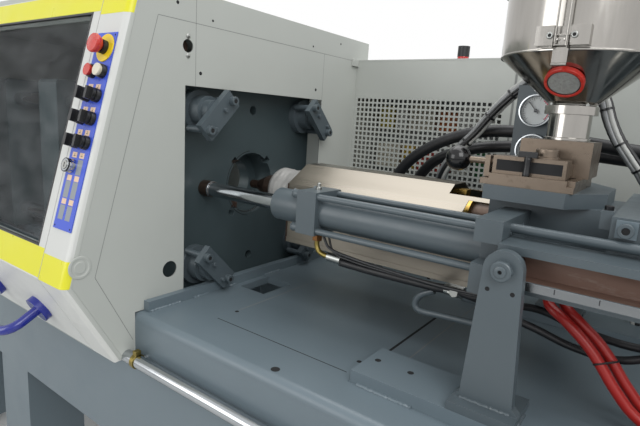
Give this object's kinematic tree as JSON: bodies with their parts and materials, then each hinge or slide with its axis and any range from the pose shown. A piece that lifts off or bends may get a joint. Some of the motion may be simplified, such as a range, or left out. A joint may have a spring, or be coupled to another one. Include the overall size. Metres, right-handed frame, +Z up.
{
  "type": "injection moulding machine",
  "caption": "Horizontal injection moulding machine with guarded clamp, sliding door, plasticizing unit on a carriage, stainless hopper and control cabinet.",
  "frame": {"origin": "on the floor under the middle of the machine's bounding box", "axes": "+X towards the injection end, +Y towards the back, +Z up"},
  "size_m": [3.9, 1.49, 1.734],
  "materials": {
    "bed_paint": "two-pack machine enamel",
    "black_plastic": "moulded plastic",
    "black_rubber": "hose cover",
    "blue_plastic": "moulded plastic",
    "blue_plate": "printed panel",
    "brass": "mica and brass bands",
    "chrome": "hard chrome",
    "grey_sheath": "cable sheath",
    "guard_paint": "fine structured powder coat",
    "light_paint": "smooth powder coat",
    "pale_plastic": "moulded plastic",
    "platen_paint": "satin machine enamel",
    "polycarbonate": "clear polycarbonate",
    "red_plastic": "moulded plastic",
    "stainless": "polished stainless sheet",
    "steel": "machined steel"
  },
  "bodies": {
    "machine_frame": {"bed_frame": "bed_paint", "bed_deck": "bed_paint", "deck_plates": "bed_paint", "levelling_feet": "steel", "front_rail": "chrome", "fixed_platen": "platen_paint", "tie_bars": "chrome", "tie_bar_nuts": "bed_paint", "nut_lock_bars": "bed_paint", "tail_platen": "platen_paint", "clamp_cylinder": "bed_paint", "guard_end_panel": "guard_paint", "guard_hood": "guard_paint", "control_plate": "blue_plate", "switch_collars": "black_plastic", "cabinet_shell": "guard_paint", "cabinet_front": "guard_paint", "electric_plate": "steel", "support_columns": "bed_paint", "carriage_rods": "chrome", "stack_light": "red_plastic", "hydraulic_hoses": "black_rubber", "cable_bundles": "grey_sheath"},
    "carriage": {"barrel": "steel", "nozzle": "steel", "heater_bands": "brass", "barrel_cover": "stainless", "carriage_cylinders": "bed_paint", "slide_beams": "bed_paint", "feed_housing": "bed_paint", "injection_housing": "bed_paint", "gate_block": "steel", "hopper_body": "stainless", "hopper_lid": "stainless", "sight_glass": "red_plastic", "gauge_panel": "guard_paint"},
    "clamp_plate": {"moving_platen": "platen_paint", "clamp_ram": "chrome"},
    "ejector_unit": {"ejector": "steel"},
    "door": {"front_door": "light_paint", "door_window": "polycarbonate", "door_handle": "blue_plastic"},
    "estop": {"estop_button": "red_plastic"},
    "red_push": {"red_button": "red_plastic"},
    "white_push": {"white_button": "pale_plastic"},
    "selector_1": {"selector_knob_1": "black_plastic"},
    "selector_2": {"selector_knob_2": "black_plastic"},
    "selector_3": {"selector_knob_3": "black_plastic"},
    "selector_4": {"selector_knob_4": "black_plastic"},
    "selector_5": {"selector_knob_5": "black_plastic"},
    "selector_6": {"selector_knob_6": "black_plastic"},
    "key_switch": {"key_core": "chrome"},
    "shutter": {"gate_slide": "steel"},
    "clamp_tee": {"clamp_handle": "black_plastic"},
    "lever": {"latch_lever": "chrome"},
    "bail": {"latch_bail": "chrome"},
    "pointer_upper": {"needle_upper": "black_plastic"},
    "pointer_lower": {"needle_lower": "black_plastic"},
    "screw_drive": {"crosshead": "bed_paint"},
    "plasticizing_screw": {"screw": "steel"}
  },
  "joints": [
    {"name": "carriage_slide", "type": "slide", "parent": "machine_frame", "child": "carriage", "axis": [1, 0, 0], "range_m": [-0.114, 0]},
    {"name": "clamp_slide", "type": "slide", "parent": "machine_frame", "child": "clamp_plate", "axis": [1, 0, 0], "range_m": [-0.05, 0.3]},
    {"name": "ejector_slide", "type": "slide", "parent": "clamp_plate", "child": "ejector_unit", "axis": [1, 0, 0], "range_m": [0, 0.06]},
    {"name": "door_slide", "type": "slide", "parent": "machine_frame", "child": "door", "axis": [1, 0, 0], "range_m": [-0.55, 0]},
    {"name": "estop_press", "type": "slide", "parent": "machine_frame", "child": "estop", "axis": [0, -0.9646, 0.2639], "range_m": [-0.004, 0], "stiffness_N_per_m": 600, "springref_m": 0.0005},
    {"name": "red_press", "type": "slide", "parent": "machine_frame", "child": "red_push", "axis": [0, -0.9646, 0.2639], "range_m": [-0.0035, 0], "stiffness_N_per_m": 400, "springref_m": 0.0005},
    {"name": "white_press", "type": "slide", "parent": "machine_frame", "child": "white_push", "axis": [0, -0.9646, 0.2639], "range_m": [-0.0035, 0], "stiffness_N_per_m": 400, "springref_m": 0.0005},
    {"name": "selector_1_turn", "type": "hinge", "parent": "machine_frame", "child": "selector_1", "pos_m": [-0.45, -0.61103, 1.46045], "axis": [0, -0.9646, 0.2639], "range_deg": [-45, 45]},
    {"name": "selector_2_turn", "type": "hinge", "parent": "machine_frame", "child": "selector_2", "pos_m": [-0.413, -0.61103, 1.46045], "axis": [0, -0.9646, 0.2639], "range_deg": [-45, 45]},
    {"name": "selector_3_turn", "type": "hinge", "parent": "machine_frame", "child": "selector_3", "pos_m": [-0.45, -0.62422, 1.41222], "axis": [0, -0.9646, 0.2639], "range_deg": [-45, 45]},
    {"name": "selector_4_turn", "type": "hinge", "parent": "machine_frame", "child": "selector_4", "pos_m": [-0.413, -0.62422, 1.41222], "axis": [0, -0.9646, 0.2639], "range_deg": [-45, 45]},
    {"name": "selector_5_turn", "type": "hinge", "parent": "machine_frame", "child": "selector_5", "pos_m": [-0.45, -0.63794, 1.36207], "axis": [0, -0.9646, 0.2639], "range_deg": [-45, 45]},
    {"name": "selector_6_turn", "type": "hinge", "parent": "machine_frame", "child": "selector_6", "pos_m": [-0.413, -0.63794, 1.36207], "axis": [0, -0.9646, 0.2639], "range_deg": [-45, 45]},
    {"name": "key_turn", "type": "hinge", "parent": "machine_frame", "child": "key_switch", "pos_m": [-0.448, -0.65192, 1.31094], "axis": [0, -0.9646, 0.2639], "range_deg": [-90, 0]},
    {"name": "shutter_slide", "type": "slide", "parent": "carriage", "child": "shutter", "axis": [1, 0, 0], "range_m": [-0.075, 0]},
    {"name": "clamp_tee_turn", "type": "hinge", "parent": "carriage", "child": "clamp_tee", "pos_m": [0.37, -0.253, 1.39], "axis": [0, 0, 1], "range_deg": [-75, 75]},
    {"name": "latch_lever_hinge", "type": "hinge", "parent": "carriage", "child": "lever", "pos_m": [0.39985, -0.26741, 1.604], "axis": [-0.9994, 0.0349, 0], "range_deg": [0, 110]},
    {"name": "latch_bail_hinge", "type": "hinge", "parent": "lever", "child": "bail", "pos_m": [0.39952, -0.2769, 1.588], "axis": [-0.9994, 0.0349, 0], "range_deg": [-110, 0]},
    {"name": "pointer_upper_turn", "type": "hinge", "parent": "carriage", "child": "pointer_upper", "pos_m": [0.303, 0.04, 1.492], "axis": [0, -1, 0], "range_deg": [-200, 20]},
    {"name": "pointer_lower_turn", "type": "hinge", "parent": "carriage", "child": "pointer_lower", "pos_m": [0.306, 0.04, 1.402], "axis": [0, -1, 0], "range_deg": [-180, 20]},
    {"name": "injection_slide", "type": "slide", "parent": "carriage", "child": "screw_drive", "axis": [1, 0, 0], "range_m": [0, 0.15]},
    {"name": "screw_spin", "type": "hinge", "parent": "screw_drive", "child": "plasticizing_screw", "pos_m": [0.5, -0.12, 1.238], "axis": [1, 0, 0], "continuous": true}
  ],
  "couplings": [
    {"joint": "latch_bail_hinge", "follows": "latch_lever_hinge", "ratio": -1}
  ]
}
